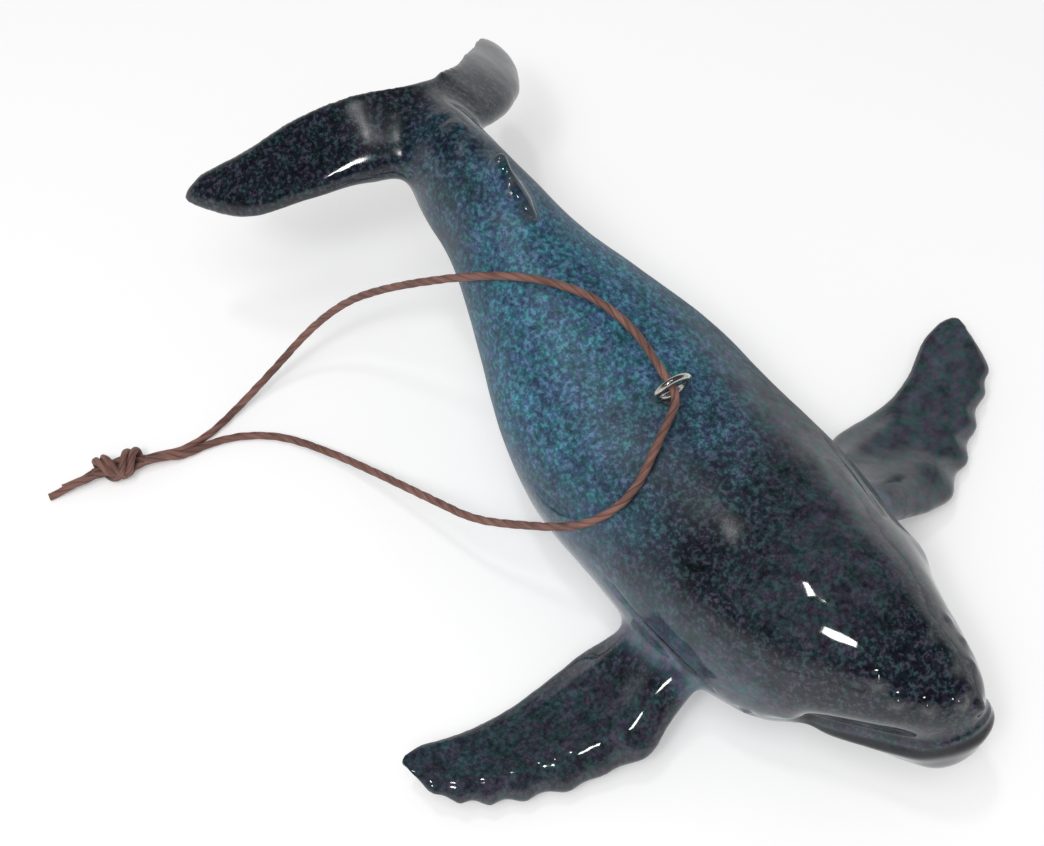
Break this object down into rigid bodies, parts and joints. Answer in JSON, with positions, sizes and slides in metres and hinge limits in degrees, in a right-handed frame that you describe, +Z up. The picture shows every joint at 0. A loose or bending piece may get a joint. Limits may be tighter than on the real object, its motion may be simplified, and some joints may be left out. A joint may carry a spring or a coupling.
{
  "type": "whale figurine",
  "caption": "Hollow glazed porcelain humpback whale with spread flippers and flukes, a wire eye in its back and a knotted cord loop to hang it by.",
  "frame": {"origin": "floor point under the middle of the porcelain whale, cord left out", "axes": "+X to the nose, +Y to the whale's left, +Z up"},
  "size_m": [0.1161, 0.1069, 0.0413],
  "materials": {
    "porcelain": "speckled dark blue and teal gloss glaze",
    "wire": "bright nickel-plated wire",
    "cement": "matt set cement",
    "cord": "waxed red-brown cotton"
  },
  "bodies": {
    "porcelain": {"body_shell": "porcelain", "left_flipper": "porcelain", "right_flipper": "porcelain", "tail_flukes": "porcelain", "dorsal_fin": "porcelain", "hanger_eye": "wire", "eye_cement": "cement"},
    "cord": {"cord_aft_leg": "cord", "cord_fore_leg": "cord", "cord_knot": "cord", "cord_long_tail": "cord", "cord_short_tail": "cord"}
  },
  "joints": [
    {"name": "cord_lift", "type": "hinge", "parent": "porcelain", "child": "cord", "pos_m": [0.00683, -0.00028, 0.0317], "axis": [-0.9602, 0.2079, 0.1866], "range_deg": [0, 120]}
  ]
}
